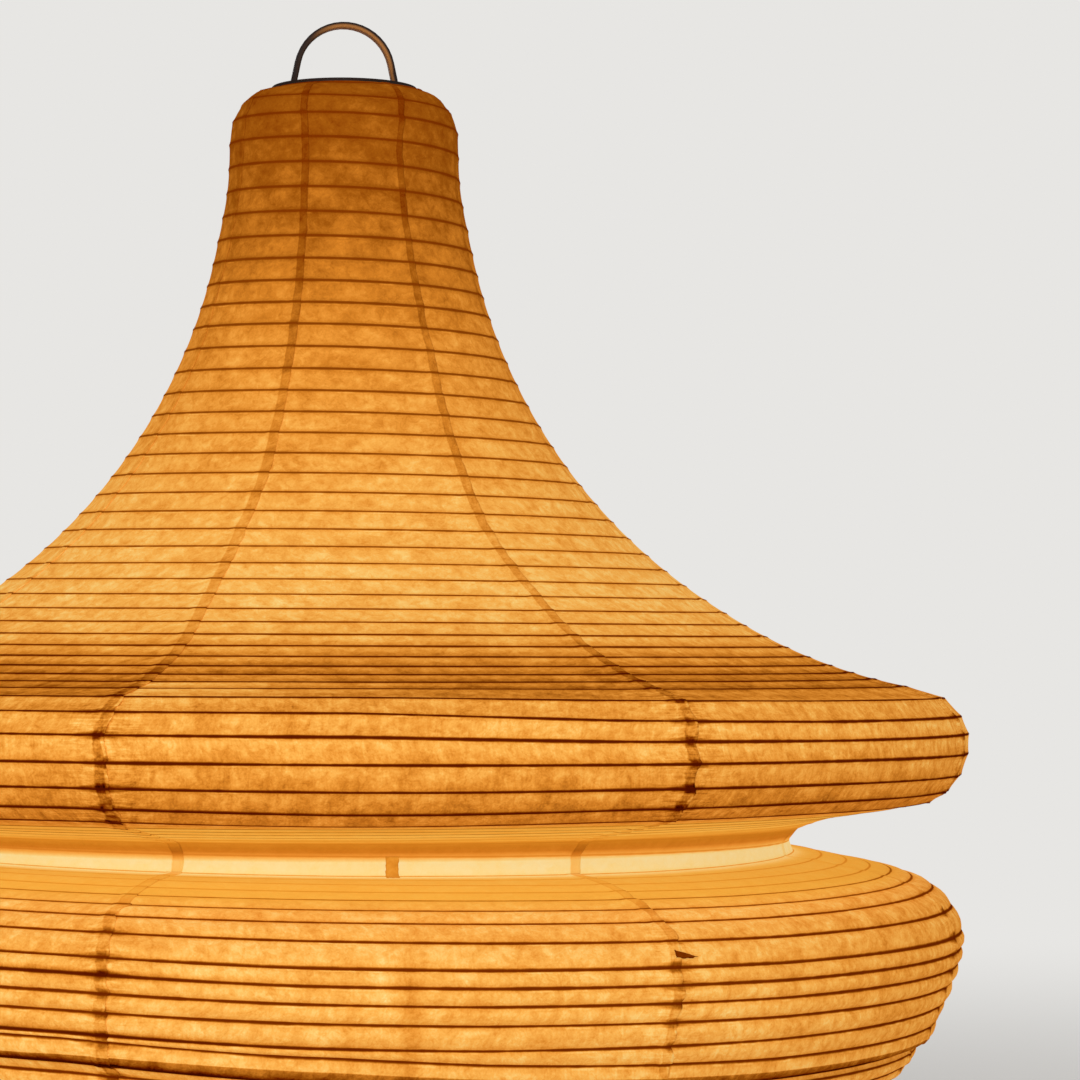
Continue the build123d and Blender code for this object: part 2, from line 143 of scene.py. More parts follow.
def profile_samples():
    """The whole profile as fine samples: place, radius, height and length along the paper."""
    places, radii, heights, lengths = [], [], [], []
    begun, run = FIRST_PLACE, 0.0
    for stretch in STRETCHES:
        points = np.array([stretch(i / STRETCH_STEPS) for i in range(STRETCH_STEPS + 1)])
        step = np.hypot(*np.diff(points, axis=0).T)
        along = np.concatenate([[0.0], np.cumsum(step)])
        count = max(1, round(along[-1] / RIB_PITCH)) if begun >= 0 else -FIRST_PLACE
        places.append(begun + along / along[-1] * count)
        radii.append(points[:, 0])
        heights.append(points[:, 1])
        lengths.append(run + along)
        begun += count
        run += along[-1]
    return [np.concatenate(column) for column in (places, radii, heights, lengths)]


PLACE, RADIUS, HEIGHT, LENGTH = profile_samples()
LAST_PLACE = PLACE[-1]

# ---- how the real shade departs from that profile ----
FRONT = math.radians(-5.4)  # the direction the photograph was taken from
TURNS = 82
FOLD_TURN = 63  # the paper overhangs this turn, and the pitch under it is tucked in
# Where the spiral's turns lie at the front, as (turn, place on the profile). The paper is slack below
# the waist, so the turns are closer there, and two pitches are partly folded in.
TURN_MARKS = [
    (FIRST_PLACE, FIRST_PLACE), (0, 0.0), (1, 1.57), (2, 2.38), (7, 7.47), (11, 11.24), (26, 26.26),
    (31, 31.1), (34, 33.9), (35, 35.5), (36, 36.53), (37, 37.53), (40, 40.62), (42, 42.35), (48, 48.0),
    (49, 49.0), (50, 50.15), (52, 52.1), (55, 54.56), (56, 55.5), (57, 56.54), (58, 57.13), (59, 57.76),
    (60, 58.44), (61, 59.4), (62, 59.78), (63, 60.93), (64, 61.24), (TURNS, LAST_PLACE),
]
# From side to side the turns slide a little along the paper. Each slide has knots of (turn, places) and
# a window of (degrees, share).
SLIDES = [
    # the right side of the flange, at its top
    ([(33.5, 0), (35, 0.42), (36.1, 0.48), (37.1, 0.25), (38.1, 0)],
     [(-180, 0), (-4, 0), (17, 0.7), (40, 1), (88, 1), (150, 0), (180, 0)]),
    # both sides of the flange, at its bottom
    ([(38.3, 0), (39, -0.08), (40, -0.26), (41.1, -0.36), (43, 0)],
     [(-180, 0), (-110, 0.5), (-60, 1), (-28, 1), (-6, 0), (2, 0), (17, 0.6), (40, 1), (88, 0.8),
      (150, 0), (180, 0)]),
    # the left side of the tier
    ([(53.5, 0), (56, -0.18), (58, -0.27), (60.5, -0.26), (61.7, -0.55), (63, -0.74), (64, -0.6),
      (70, -0.2), (TURNS, 0)],
     [(-180, 0), (-120, 0.6), (-60, 1.25), (-28, 1), (-10, 0.28), (6, 0), (180, 0)]),
    # the right side of the tier, round the fold
    ([(61.2, 0), (62.05, 0.36), (62.5, 0.3), (63.1, 0.36), (66, 0.22), (TURNS, 0)],
     [(-180, 0), (-6, 0), (17, 0.75), (34, 1), (88, 1), (160, 0), (180, 0)]),
]
# At its sides the shade is a little fuller than at the front: how far it stands out there, in mm, as
# (place, mm), and how much of that it has at (degrees, share).
SIDE_SWELL = [
    (5, 0), (7, 1.3), (26, 1.4), (30, 0.5), (36, -0.2),       # the bell
    (38, 1.6), (41, -0.8), (45, -1.6), (47, 1.4), (50, 1.1),  # the flange's edge and underside
    (52, 0), (55, 3), (59, -2), (61, -0.8), (70, 0),          # the slack tier
]
SWELL_SIDES = [
    (-180, 0.5), (-90, 0.8), (-45, 0.1), (-25, 0), (25, 0), (45, 0.2), (70, 0.9), (80, 1), (100, 1),
    (180, 0.5),
]
SLOPE_REACH = 0.35  # pitches to either side, between which the profile's slope is taken
# The lower tier hangs askew: how far it sags, in mm, at (degrees) round it, and its share at each turn.
SAG = [
    (-180, 0), (-90, -3.7), (-45, -2.6), (0, 0), (17, 1.1), (34, 2.1), (60, 2.1), (90, 1.5), (135, 0.8),
    (180, 0),
]
SAG_TURNS = [(47, 0), (51, 1), (62, 1), (TURNS - 3, 0)]
TUCK = 0.0024  # how far the folded pitch is tucked in
TUCKED = [(FOLD_TURN - 0.1, 0), (FOLD_TURN + 0.1, TUCK), (FOLD_TURN + 0.9, TUCK), (FOLD_TURN + 1.5, 0)]
# How far the paper stands out between two turns: a little hollow above, slack and full below.
BULGE = [
    (0, 0.0017), (0.9, 0.0016), (1.1, 0.0005), (2.5, 0.0), (4, -0.0002), (33.5, -0.0002), (35, 0.0),
    (36, -0.0002), (40.5, -0.0002), (42, 0.0), (49, 0.0), (52, 0.0003), (55, 0.0012), (58, 0.0017),
    (61, 0.0017), (62, 0.0008), (62.2, 0.003), (62.9, 0.003), (FOLD_TURN + 0.1, -0.0003),
    (FOLD_TURN + 0.9, -0.0003), (FOLD_TURN + 1.2, 0.0014), (TURNS, 0.001),
]
# How far it stands out where it is glued over the bamboo, and over which share of a pitch that fades.
RIDGE = [(0, 0.0003), (33, 0.0003), (36, 0.0001), (42, 0.0002), (50, 0.0003), (55, 0.0001), (TURNS, 0.0001)]
RIDGE_SHARE = 0.2
END_TURNS = 0.5  # bulge and ridge fade out over this much at both ends


def curve(x, *knots):
    """A value that follows a few (x, value) knots in straight lines."""
    at, values = zip(*knots)
    return np.interp(x, at, values)


def degrees_of(angle):
    return (np.degrees(angle) + 180) % 360 - 180


def place_of(turn, angle):
    place = curve(turn, *TURN_MARKS)
    degrees = degrees_of(angle)
    for knots, window in SLIDES:
        place = place + curve(turn, *knots) * curve(degrees, *window)
    return place


def profile_at(turn, angle=FRONT):
    """Radius and height of the paper where it is glued to a turn."""
    place = place_of(turn, angle)
    before, after = place - SLOPE_REACH, place + SLOPE_REACH
    run = np.interp(after, PLACE, RADIUS) - np.interp(before, PLACE, RADIUS)
    fall = np.interp(after, PLACE, HEIGHT) - np.interp(before, PLACE, HEIGHT)
    size = np.maximum(np.hypot(run, fall), TINY)
    swell = MM * curve(place, *SIDE_SWELL) * curve(degrees_of(angle), *SWELL_SIDES)
    radius = np.interp(place, PLACE, RADIUS) - curve(turn, *TUCKED) - swell * fall / size
    return radius, np.interp(place, PLACE, HEIGHT) + swell * run / size


def sag_at(turn, angle):
    return MM * curve(degrees_of(angle), *SAG) * curve(turn, *SAG_TURNS)


def winding(angle):
    """How far the spiral has wound at an angle, in turns, against the front."""
    return (angle - FRONT) / (2 * math.pi)


def round_axis(radius, angle, height):
    return np.stack([radius * np.sin(angle), -radius * np.cos(angle), height], axis=-1)


def paper_points(turn, angle, lift):
    """Points of the paper's outer face, and the spiral's turn at each.

    turn counts the turns at the front, and its fraction crosses a pitch.
    """
    wound = winding(angle)
    whole = np.floor(turn + ROUNDING)
    low = np.clip(whole + wound, FIRST_PLACE, TURNS)
    high = np.clip(whole + 1 + wound, FIRST_PLACE, TURNS)
    here = np.clip(turn + wound, FIRST_PLACE, TURNS)
    share = np.where(high > low, (here - low) / np.maximum(high - low, TINY), 0.0)
    r0, z0 = profile_at(low, angle)
    r1, z1 = profile_at(high, angle)
    run, fall = r1 - r0, z1 - z0
    size = np.maximum(np.hypot(run, fall), TINY)
    bend = 4 * share * (1 - share) * curve(here, *BULGE)
    near = np.clip(1 - np.minimum(share, 1 - share) / RIDGE_SHARE, 0, 1) ** 2
    inside = np.clip(np.minimum(here - FIRST_PLACE, TURNS - here) / END_TURNS, 0, 1)
    out = (bend + near * curve(here, *RIDGE)) * inside + lift
    radius = r0 + share * run - out * fall / size
    height = z0 + share * fall + out * run / size
    return round_axis(radius, angle, height - sag_at(here, angle)), here


# ---- the seams ----
# Angles at which the seams between the gores run, where the photograph shows them, as (height, degrees)
# under the seam's number: 0 is the first one right of the front. The others wander as much.
SEAM_MARKS = {
    0: [(0.10, 22.2), (0.127, 22.3), (0.1434, 22.0), (0.1504, 22.2), (0.157, 22.6), (0.1634, 22.0),
        (0.173, 22.9), (0.1793, 22.7), (0.1834, 22.4), (0.1866, 22.2), (0.198, 22.6), (0.220, 23.3),
        (0.250, 23.6), (0.274, 24.3), (0.304, 24.3), (0.333, 23.0), (0.385, 24.8), (0.4065, 25.9),
        (0.433, 25.4), (0.493, 22.4), (0.511, 24.5), (MOUTH_Z, 28.0)],
    7: [(0.10, -24.6), (0.130, -25.0), (0.158, -24.5), (0.180, -25.2), (0.199, -24.6), (0.220, -24.4),
        (0.25, -24.7), (0.28, -24.5), (0.30, -25.5), (0.33, -25.3), (0.35, -24.2), (0.432, -24.0),
        (0.50, -24.6), (MOUTH_Z, -28.0)],
    6: [(0.10, -69.0), (0.415, -69.0), (0.435, -70.4), (0.506, -66.0), (MOUTH_Z, -69.0)],
}
# Waves as (size, radians per metre or per pitch, radians from seam to seam).
WANDER = [(1.1, 19, 2.1), (0.6, 61, 1.3)]
LEAN = [(1.0, 2.4, 1.9), (0.5, 5.3, 1.0)]
LEAN_REACH = 0.0009
# The seams show less at the sides, as (degrees, share).
SEAM_STRENGTH = [(-180, 0.5), (-90, 0.3), (-60, 0.4), (-40, 1), (45, 1), (60, 0.4), (90, 0.3), (180, 0.5)]


def waves(at, number, terms):
    return sum(size * np.sin(rate * at + shift * number) for size, rate, shift in terms)


def seam_angle(number, height):
    number %= GORES
    if number in SEAM_MARKS:
        return np.radians(curve(height, *SEAM_MARKS[number]))
    middle = GORE_DEGREES * (number + 0.5)
    middle -= 360 if middle > 180 else 0
    return np.radians(middle + waves(height, number, WANDER))


def lean_of(number, turns, crumple):
    """How far a seam leans to one side between two turns: each pitch was glued by itself."""
    pitch = np.floor(turns + ROUNDING)
    lean = waves(pitch, number % GORES, LEAN)
    return LEAN_REACH * lean * crumple * (2 * (turns - pitch) - 1)


def unwrapped(angle, near):
    """The same angle within half a turn of another."""
    return near + (angle - near + math.pi) % (2 * math.pi) - math.pi


# ---- the shadows of the folds, as the paper's material reads them ----
# The pitch that overhangs the fold: how deep its shadow is at (share of the pitch, depth) and how much
# of that at (degrees, share), and where the shadow's edge lies at (degrees, share of the pitch).
OVERHANG = [
    (-0.2, 0), (0, 0.64), (0.5, 0.72), (0.62, 0.9), (0.75, 1.3), (1.04, 1.35), (1.14, 0.3), (1.4, 0),
]
OVERHANG_SIDES = [(-180, 0.4), (-120, 0.7), (-30, 1), (50, 1), (80, 0.6), (120, 0.4), (180, 0.4)]
OVERHANG_EDGE = [(-180, 0.5), (-60, 0.6), (-33, 0.57), (-21, 0.42), (-12, 0.36), (50, 0.36), (180, 0.5)]
# Painted shadows of other folds and painted shade on the tier's right side, as how dark they are, (turn,
# share) and (degrees, share).
FOLD_SHADOWS = [
    # the pinched pitch on the left
    (1, [(60.6, 0), (60.9, 0.45), (61, 0.9), (61.1, 0.1), (61.3, 0)],
     [(-180, 0), (-120, 0.5), (-50, 1), (-20, 0.9), (2, 0), (180, 0)]),
    # the crumpled pitch above it
    (1, [(57.7, 0), (57.85, 0.35), (58, 0.8), (58.12, 0.1), (58.3, 0)],
     [(-180, 0), (-70, 0.6), (-40, 1), (-25, 0.9), (-12, 0), (180, 0)]),
    # painted shade on the tier's right side
    (0.2, [(53.5, 0), (56, 1), (62, 1), (66, 0)], [(25, 0), (50, 1), (110, 1), (150, 0)]),
]
# Light on the flange's top, right of the left seam, as (turn, share) and (degrees, share).
FLANGE_LIGHT = [(31.9, 0), (32.1, 0.3), (33, 0.4), (33.15, 1), (34.9, 1), (35.2, 0.2), (35.6, 0)]
FLANGE_LIGHT_SIDES = [(-24.8, 0), (-23.8, 0.53), (-15, 0.5), (-8, 0.25), (-1, 0.18), (9, 0)]


def overhang(turn, angle):
    """How deep the overhang's shadow is at each point, and how far past the shadow's edge it lies."""
    degrees = degrees_of(angle)
    share = turn - FOLD_TURN + 1
    depth = curve(share, *OVERHANG) * curve(degrees, *OVERHANG_SIDES)
    return depth, share - curve(degrees, *OVERHANG_EDGE)


def fold_shadow(turn, angle):
    """How deep the paper lies in painted shadow of other folds and on the tier's right side. It is below 0
    where painted light falls on it.
    """
    degrees = degrees_of(angle)
    shadows = [dark * curve(turn, *knots) * curve(degrees, *window) for dark, knots, window in FOLD_SHADOWS]
    return np.max(shadows, axis=0) - curve(turn, *FLANGE_LIGHT) * curve(degrees, *FLANGE_LIGHT_SIDES)


# ---- meshes ----
def to_mesh(name, points, faces):
    mesh = bpy.data.meshes.new(name)
    mesh.from_pydata(points.tolist(), [], faces)
    mesh.shade_smooth()
    piece = bpy.data.objects.new(name, mesh)
    bpy.context.scene.collection.objects.link(piece)
    return piece


def to_sheet(name, points):
    """A mesh from a grid of points whose rows go down and whose columns go to the right, from outside."""
    rows, columns = points.shape[:2]
    index = np.arange(rows * columns).reshape(rows, columns)
    quads = np.stack([index[:-1, :-1], index[1:, :-1], index[1:, 1:], index[:-1, 1:]], axis=-1)
    return to_mesh(name, points.reshape(-1, 3), quads.reshape(-1, 4).tolist())


def store(mesh, **attributes):
    """Keep values or vectors at the mesh's points, where its material reads them by name."""
    for name, values in attributes.items():
        values = np.asarray(values, np.float32)
        is_vector = values.size == 3 * len(mesh.vertices)
        made = mesh.attributes.new(name, "FLOAT_VECTOR" if is_vector else "FLOAT", "POINT")
        made.data.foreach_set("vector" if is_vector else "value", values.ravel())


def clean(mesh):
    """Join the points that lie on one spot, past the spiral's two ends."""
    work = bmesh.new()
    work.from_mesh(mesh)
    bmesh.ops.remove_doubles(work, verts=work.verts, dist=WELD_REACH)
    bmesh.ops.dissolve_degenerate(work, dist=WELD_REACH / 2, edges=work.edges)
    work.to_mesh(mesh)
    work.free()


def thicken(piece):
    skin = piece.modifiers.new("paper", "SOLIDIFY")
    skin.thickness = PAPER
    skin.offset = -1


WELD_REACH = 2e-6
PITCH_SHARES = [0.0, 0.08, 0.2, 0.38, 0.62, 0.8, 0.92]  # rows of points across a pitch
EDGE_COLUMNS = [0.0, 0.24, 0.5, 0.76, 1.0, 1.12, 1.6]  # columns beside an edge, in overlap widths
MAIN_COLUMNS = 14  # columns between those of the two edges
SPARE_TURNS = 2  # rows past both ends, because a pitch starts lower from side to side
FIRST_SEED = 40
OVERLAP_SHARES = [  # the overlap's width, as (height, share)
    (0.20, 1.0), (0.212, 1.15), (0.26, 1.15), (0.28, 1.0), (0.33, 1.0), (0.45, 0.7), (MOUTH_Z, 0.62),
]
CRUMPLE = [  # how untidily the seams are glued, as (turn, share)
    (0, 0.2), (30, 0.3), (35, 1.0), (42, 1.0), (44, 0.2), (51, 0.2), (55, 1.0), (62, 1.0), (TURNS, 0.6),
]
TORN_REACH = 0.0005  # how far the free edge wanders: it is torn by hand
TORN_LEAST = 0.4  # share of that which is there without any crumple
TORN_BLUR = [0.25, 0.5, 0.25]
TORN_SHARE = 0.3  # of the overlap's width, which moves with the edge
LAP_LIFT = 0.0003  # the upper gore lies this much over the lower one
LAP_END = 1.6  # overlap widths from its edge at which it has come down
LAP_FALL = 0.48  # overlap widths over which it comes down
PUCKER_REACH = 0.012
PUCKER_HEIGHT = 0.00016
PUCKER_SPREAD = 1.7  # about the spread of three draws added up
SEAM_REACH = 0.03  # seam distances are kept up to here
LEAST_PITCH = 0.004
GORE_SHIFT = 0.37  # moves the paper's pattern from gore to gore


def gore_columns(overlap, width):
    """Distances of the columns from a gore's left edge: close on the overlaps and even between them."""
    edge = overlap[:, None] * np.array(EDGE_COLUMNS)[None, :]
    main = np.linspace(0, 1, MAIN_COLUMNS + 2)[1:-1]
    start, end = edge[:, -1], width - edge[:, -1]
    between = start[:, None] + main[None, :] * (end - start)[:, None]
    return np.concatenate([edge, between, width[:, None] - edge[:, ::-1]], axis=1)


def build_gore(number):
    """One gore of washi, from seam to seam. Its right edge is glued over the next gore."""
    rng = np.random.default_rng(FIRST_SEED + number)
    rows = range(-SPARE_TURNS, TURNS + SPARE_TURNS)
    turns = np.array([turn + share for turn in rows for share in PITCH_SHARES])
    middle = math.radians(GORE_DEGREES * (number + 1))
    middle -= 2 * math.pi if middle > math.pi else 0
    middle_turns = turns + winding(middle)
    radius, height = profile_at(np.clip(middle_turns, FIRST_PLACE, TURNS))
    overlap = OVERLAP * curve(height, *OVERLAP_SHARES)
    crumple = curve(middle_turns, *CRUMPLE)
    left, right = (
        unwrapped(seam_angle(seam, height), middle) + (lean_of(seam, turns, crumple) + shift) / radius
        for seam, shift in ((number, -overlap / 2), (number + 1, overlap / 2))
    )
    width = (right - left) * radius
    columns = gore_columns(overlap, width)
    from_right = width[:, None] - columns
    torn = np.convolve(rng.normal(0, 1, len(turns)), TORN_BLUR, "same") * TORN_REACH * (TORN_LEAST + crumple)
    columns = columns + np.where(from_right < TORN_SHARE * overlap[:, None], 1.0, 0.0) * torn[:, None]
    angle = left[:, None] + columns / radius[:, None]
    lift = LAP_LIFT * np.clip((LAP_END - from_right / overlap[:, None]) / LAP_FALL, 0, 1)
    # puckers in the glue line, outward on the upper gore and inward on the lower one
    near_seam = np.clip(1 - np.minimum(columns, from_right) / PUCKER_REACH, 0, 1)
    noise = rng.normal(0, 1, columns.shape)
    noise = (noise + np.roll(noise, 1, 0) + np.roll(noise, 1, 1)) / PUCKER_SPREAD
    pucker = np.where(from_right < columns, np.abs(noise), -np.abs(noise))
    pucker = pucker * near_seam * PUCKER_HEIGHT * crumple[:, None]
    grid_turns = np.repeat(turns[:, None], columns.shape[1], axis=1)
    points, here = paper_points(grid_turns, angle, lift + pucker)
    piece = to_sheet(f"washi_gore_{number + 1}", points)

    row_turn = here - winding(angle)
    share = row_turn - np.floor(row_turn + ROUNDING)
    place = place_of(here, angle)
    down = np.interp(place, PLACE, LENGTH)
    above, below = place_of(here - 0.5, angle), place_of(here + 0.5, angle)
    pitch = np.interp(below, PLACE, LENGTH) - np.interp(above, PLACE, LENGTH)
    across = (angle - ((left + right) / 2)[:, None]) * radius[:, None]
    scale = OVERLAP / overlap[:, None]
    depth, past_edge = overhang(row_turn, angle)
    store(
        piece.data,
        flat=np.stack([across, down, np.full(down.shape, GORE_SHIFT * number)], axis=-1),
        rest=points,
        rib_distance=IN_MM * np.minimum(share, 1 - share) * np.maximum(pitch, LEAST_PITCH),
        seam_distance=IN_MM * scale * np.minimum(np.minimum(columns, from_right), SEAM_REACH),
        place=(place - FIRST_PLACE) / (LAST_PLACE - FIRST_PLACE),
        side=np.sin(2 * math.pi * share),
        fold=fold_shadow(row_turn, angle),
        overhang=depth,
        past_edge=past_edge,
        bold=curve(degrees_of(angle), *SEAM_STRENGTH),
    )
    clean(piece.data)
    thicken(piece)
    return piece


PATCH_ROWS = 15
PATCH_COLUMNS = 9
PATCH_SHIFT = 4.1  # moves the paper's pattern from that of the gores
SIDE_WAVER = 0.00012  # metres by which a patch's cut sides waver
TOP_WAVER = 0.02  # turns by which its top and bottom do
BOTTOM_WAVER = 0.03
POINT_ROUNDING = 0.8  # under 1, a pointed patch's side bends outward


def build_patch(name, seed, turns, degrees, radius, width, lift, pointed=False):
    """A small strip of paper glued on the shade, across a stretch of turns.

    A pointed one narrows to nothing at its top.
    """
    rng = np.random.default_rng(seed)
    angle = math.radians(degrees)
    down = np.linspace(-1, 1, PATCH_ROWS)[:, None]
    across = np.linspace(-0.5, 0.5, PATCH_COLUMNS)[None, :]
    edge = width * (across + 0 * down)
    if pointed:
        edge = width * (across + 0.5) * ((1 + down) / 2) ** POINT_ROUNDING
    grid_turns = np.mean(turns) + (turns[1] - turns[0]) / 2 * down + 0 * across
    edge = edge + rng.normal(0, SIDE_WAVER, edge.shape) * (np.abs(across) == 0.5)
    grid_turns[0] += rng.normal(0, TOP_WAVER, PATCH_COLUMNS)
    grid_turns[-1] += rng.normal(0, BOTTOM_WAVER, PATCH_COLUMNS)
    points, here = paper_points(grid_turns, angle + edge / radius, lift)
    piece = to_sheet(name, points)
    along = np.interp(place_of(here, angle), PLACE, LENGTH)
    inside = np.minimum(1 - np.abs(2 * across), 1 - np.abs(down) + 0 * across)
    store(
        piece.data,
        flat=np.stack([edge, along, np.full(edge.shape, PATCH_SHIFT)], axis=-1),
        seam_distance=IN_MM * width / 2 * inside,
    )
    thicken(piece)
    return piece


RIB_SIDES = 6
RIB_STEPS = 72  # per turn
RIB_END = 0.12  # turns without bamboo at both ends of the paper
RIB_GAP = 0.00008  # between the bamboo and the paper's inner face


def build_rib():
    """The bamboo: one spiral of round wire against the inside of the paper."""
    here = np.linspace(RIB_END, TURNS - RIB_END, int(TURNS * RIB_STEPS))
    angle = FRONT + 2 * math.pi * (here % 1.0)
    radius, height = profile_at(here, angle)
    before, after = profile_at(here - 0.5, angle), profile_at(here + 0.5, angle)
    run, fall = after[0] - before[0], after[1] - before[1]
    size = np.hypot(run, fall)
    depth = PAPER + RIB_RADIUS - curve(here, *RIDGE) + RIB_GAP
    centre_r = radius + depth * fall / size
    centre_z = height - depth * run / size
    sag = sag_at(here, angle)
    rings = []
    for side in range(RIB_SIDES):
        turned = 2 * math.pi * side / RIB_SIDES
        out, up = RIB_RADIUS * math.cos(turned), RIB_RADIUS * math.sin(turned)
        rings.append(round_axis(centre_r + out, angle, centre_z + up - sag))
    points = np.stack(rings, axis=1)
    index = np.arange(len(here) * RIB_SIDES).reshape(len(here), RIB_SIDES)
    beside = np.roll(index, -1, axis=1)
    quads = np.stack([index[:-1], beside[:-1], beside[1:], index[1:]], axis=-1).reshape(-1, 4).tolist()
    ends = [index[0, ::-1].tolist(), index[-1].tolist()]
    return to_mesh("bamboo_spiral", points.reshape(-1, 3), quads + ends)


# ---- materials ----
def srgb(red, green, blue):
    """A colour as it is seen on a screen (0 to 255), as the linear values that a shader takes."""
    def linear(value):
        share = value / 255
        return share / 12.92 if share <= 0.04045 else ((share + 0.055) / 1.055) ** 2.4
    return linear(red), linear(green), linear(blue), 1.0


class Shader:
    """A material and short ways to add nodes to it."""

    def __init__(self, name, **values):
        self.material = bpy.data.materials.new(name)
        self.material.use_nodes = True
        self.tree = self.material.node_tree
        self.bsdf = self.tree.nodes["Principled BSDF"]
        for key, value in values.items():
            self.set(key.replace("_", " ").title().replace("Ior", "IOR"), value)

    def join(self, value, target):
        """Give a socket a constant, or a link from another socket."""
        if isinstance(value, bpy.types.NodeSocket):
            self.tree.links.new(value, target)
        else:
            target.default_value = value

    def set(self, socket, value):
        self.join(value, self.bsdf.inputs[socket])

    def node(self, kind, inputs=(), **settings):
        made = self.tree.nodes.new(kind)
        for key, value in settings.items():
            setattr(made, key, value)
        for key, value in dict(inputs).items():
            self.join(value, made.inputs[key])
        return made

    def math(self, operation, *values):
        return self.node("ShaderNodeMath", enumerate(values), operation=operation).outputs[0]

    def times(self, first, *others):
        for other in others:
            first = self.math("MULTIPLY", first, other)
        return first

    def plus(self, first, *others):
        for other in others:
            first = self.math("ADD", first, other)
        return first

    def minus(self, value, other):
        return self.math("SUBTRACT", value, other)

    def larger(self, value, other):
        return self.math("MAXIMUM", value, other)

    def times_plus(self, value, factor, base):
        """value * factor + base"""
        return self.math("MULTIPLY_ADD", value, factor, base)

    def value(self, name):
        return self.node("ShaderNodeAttribute", attribute_name=name).outputs["Fac"]

    def vector(self, name):
        return self.node("ShaderNodeAttribute", attribute_name=name).outputs["Vector"]

    def position(self):
        return self.node("ShaderNodeTexCoord").outputs["Object"]

    def axes(self, vector):
        return self.node("ShaderNodeSeparateXYZ", {0: vector}).outputs

    def stretched(self, vector, scale):
        return self.node("ShaderNodeVectorMath", {0: vector, 1: scale}, operation="MULTIPLY").outputs[0]

    def length(self, vector):
        return self.node("ShaderNodeVectorMath", {0: vector}, operation="LENGTH").outputs["Value"]

    def noise(self, vector, scale=1.0, detail=2.0, roughness=0.5, distortion=0.0):
        inputs = {
            "Vector": vector, "Scale": scale, "Detail": detail, "Roughness": roughness,
            "Distortion": distortion,
        }
        return self.node("ShaderNodeTexNoise", inputs).outputs["Fac"]

    def step(self, value, low, high, to_low=0.0, to_high=1.0):
        """A smooth step of a value between two marks."""
        inputs = {"Value": value, "From Min": low, "From Max": high, "To Min": to_low, "To Max": to_high}
        return self.node("ShaderNodeMapRange", inputs, interpolation_type="SMOOTHSTEP").outputs["Result"]

    def band(self, value, marks):
        """1 between the middle two of four marks, 0 outside the outer two."""
        rise = self.step(value, marks[0], marks[1])
        return self.times(rise, self.step(value, marks[3], marks[2]))

    def swing(self, noise, amount):
        """A noise as a swing to both sides."""
        return self.times(self.minus(noise, 0.5), amount)

    def mix(self, factor, one, other):
        return self.node("ShaderNodeMix", {0: factor, 6: one, 7: other}, data_type="RGBA").outputs[2]

    def mix_values(self, factor, one, other):
        return self.node("ShaderNodeMix", {0: factor, 2: one, 3: other}, data_type="FLOAT").outputs[0]

    def dimmed(self, colour, factor):
        """A colour times a factor, which may be a socket."""
        return self.node("ShaderNodeVectorMath", {0: colour, "Scale": factor}, operation="SCALE").outputs[0]

    def ramp(self, value, stops):
        made = self.node("ShaderNodeValToRGB", {"Fac": value})
        elements = made.color_ramp.elements
        while len(elements) < len(stops):
            elements.new(0.5)
        for element, (at, colour) in zip(elements, stops):
            element.position = at
            element.color = colour
        return made.outputs["Color"]

    def bump(self, height, distance, strength):
        inputs = {"Height": height, "Distance": distance, "Strength": strength}
        self.set("Normal", self.node("ShaderNodeBump", inputs).outputs["Normal"])


# The paper's look is one level of brightness, from 0 to 1, which a ramp turns into a colour.
PAPER_SHARE = 0.52  # how much of the colour comes from the light that falls on the paper
PAPER_GLOW = 0.53  # and how much from the bulb behind it
# The paper's colours from the darkest rib to the brightest spot, as (level, colour as seen).
TONES = [
    (0.00, (30, 3, 0)), (0.10, (84, 18, 0)), (0.20, (122, 46, 0)), (0.34, (160, 87, 14)),
    (0.50, (213, 129, 38)), (0.60, (236, 153, 57)), (0.70, (250, 178, 80)), (0.80, (255, 203, 112)),
    (0.90, (255, 229, 155)), (1.00, (255, 247, 208)),
]
GOLDEN = (0.94, 1.06, 0.80)  # smooth paper is more golden by this much
# How brightly the bulb lights the paper down the profile, as (place, level).
LEVELS = [
    (FIRST_PLACE, 0.31), (4, 0.345), (9, 0.465), (12, 0.56), (19, 0.68), (25, 0.73), (28, 0.68),
    (30.5, 0.53), (32.5, 0.45), (34.5, 0.44), (36, 0.60), (37.5, 0.67), (39.2, 0.60), (40.8, 0.48),
    (42.6, 0.69), (45.8, 0.74), (46.8, 0.65), (47.3, 0.50), (47.8, 0.51), (48.3, 0.93), (49.1, 0.92),
    (49.9, 0.73), (53, 0.69), (54.5, 0.71), (60, 0.70), (64, 0.62), (75, 0.56),
]
# Stretches of the shade, as the places where each begins, is whole, is last whole and ends.
LIP = (32.5, 36.0, 40.8, 42.0)
SMOOTH = (41.3, 42.6, 52.5, 54.5)  # from the flange's underside to the tier's top
WAIST = (47.2, 48.0, 49.3, 50.0)
UNDERSIDE = (41.5, 43.0, 46.2, 47.4)
BELL_FOOT = (27.0, 30.0, 35.0, 36.5)  # where the bell runs into the flange
CREASED = (28.0, 33.0, 36.0, 40.0)
DARK_RIBS = (22.0, 33.0, 40.8, 42.4)
BROAD_RIBS = (26.0, 30.0, 35.4, 36.2)
HIDDEN_RIBS = (43.5, 46.5, 51.7, 54.6)
TIER = (53.0, 56.0)  # the tier begins, and is whole
TIER_ROUGHNESS = 0.6  # against the lip's
WIDE = IN_MM * OVERLAP  # the overlap's width, in mm as the seam_distance attribute


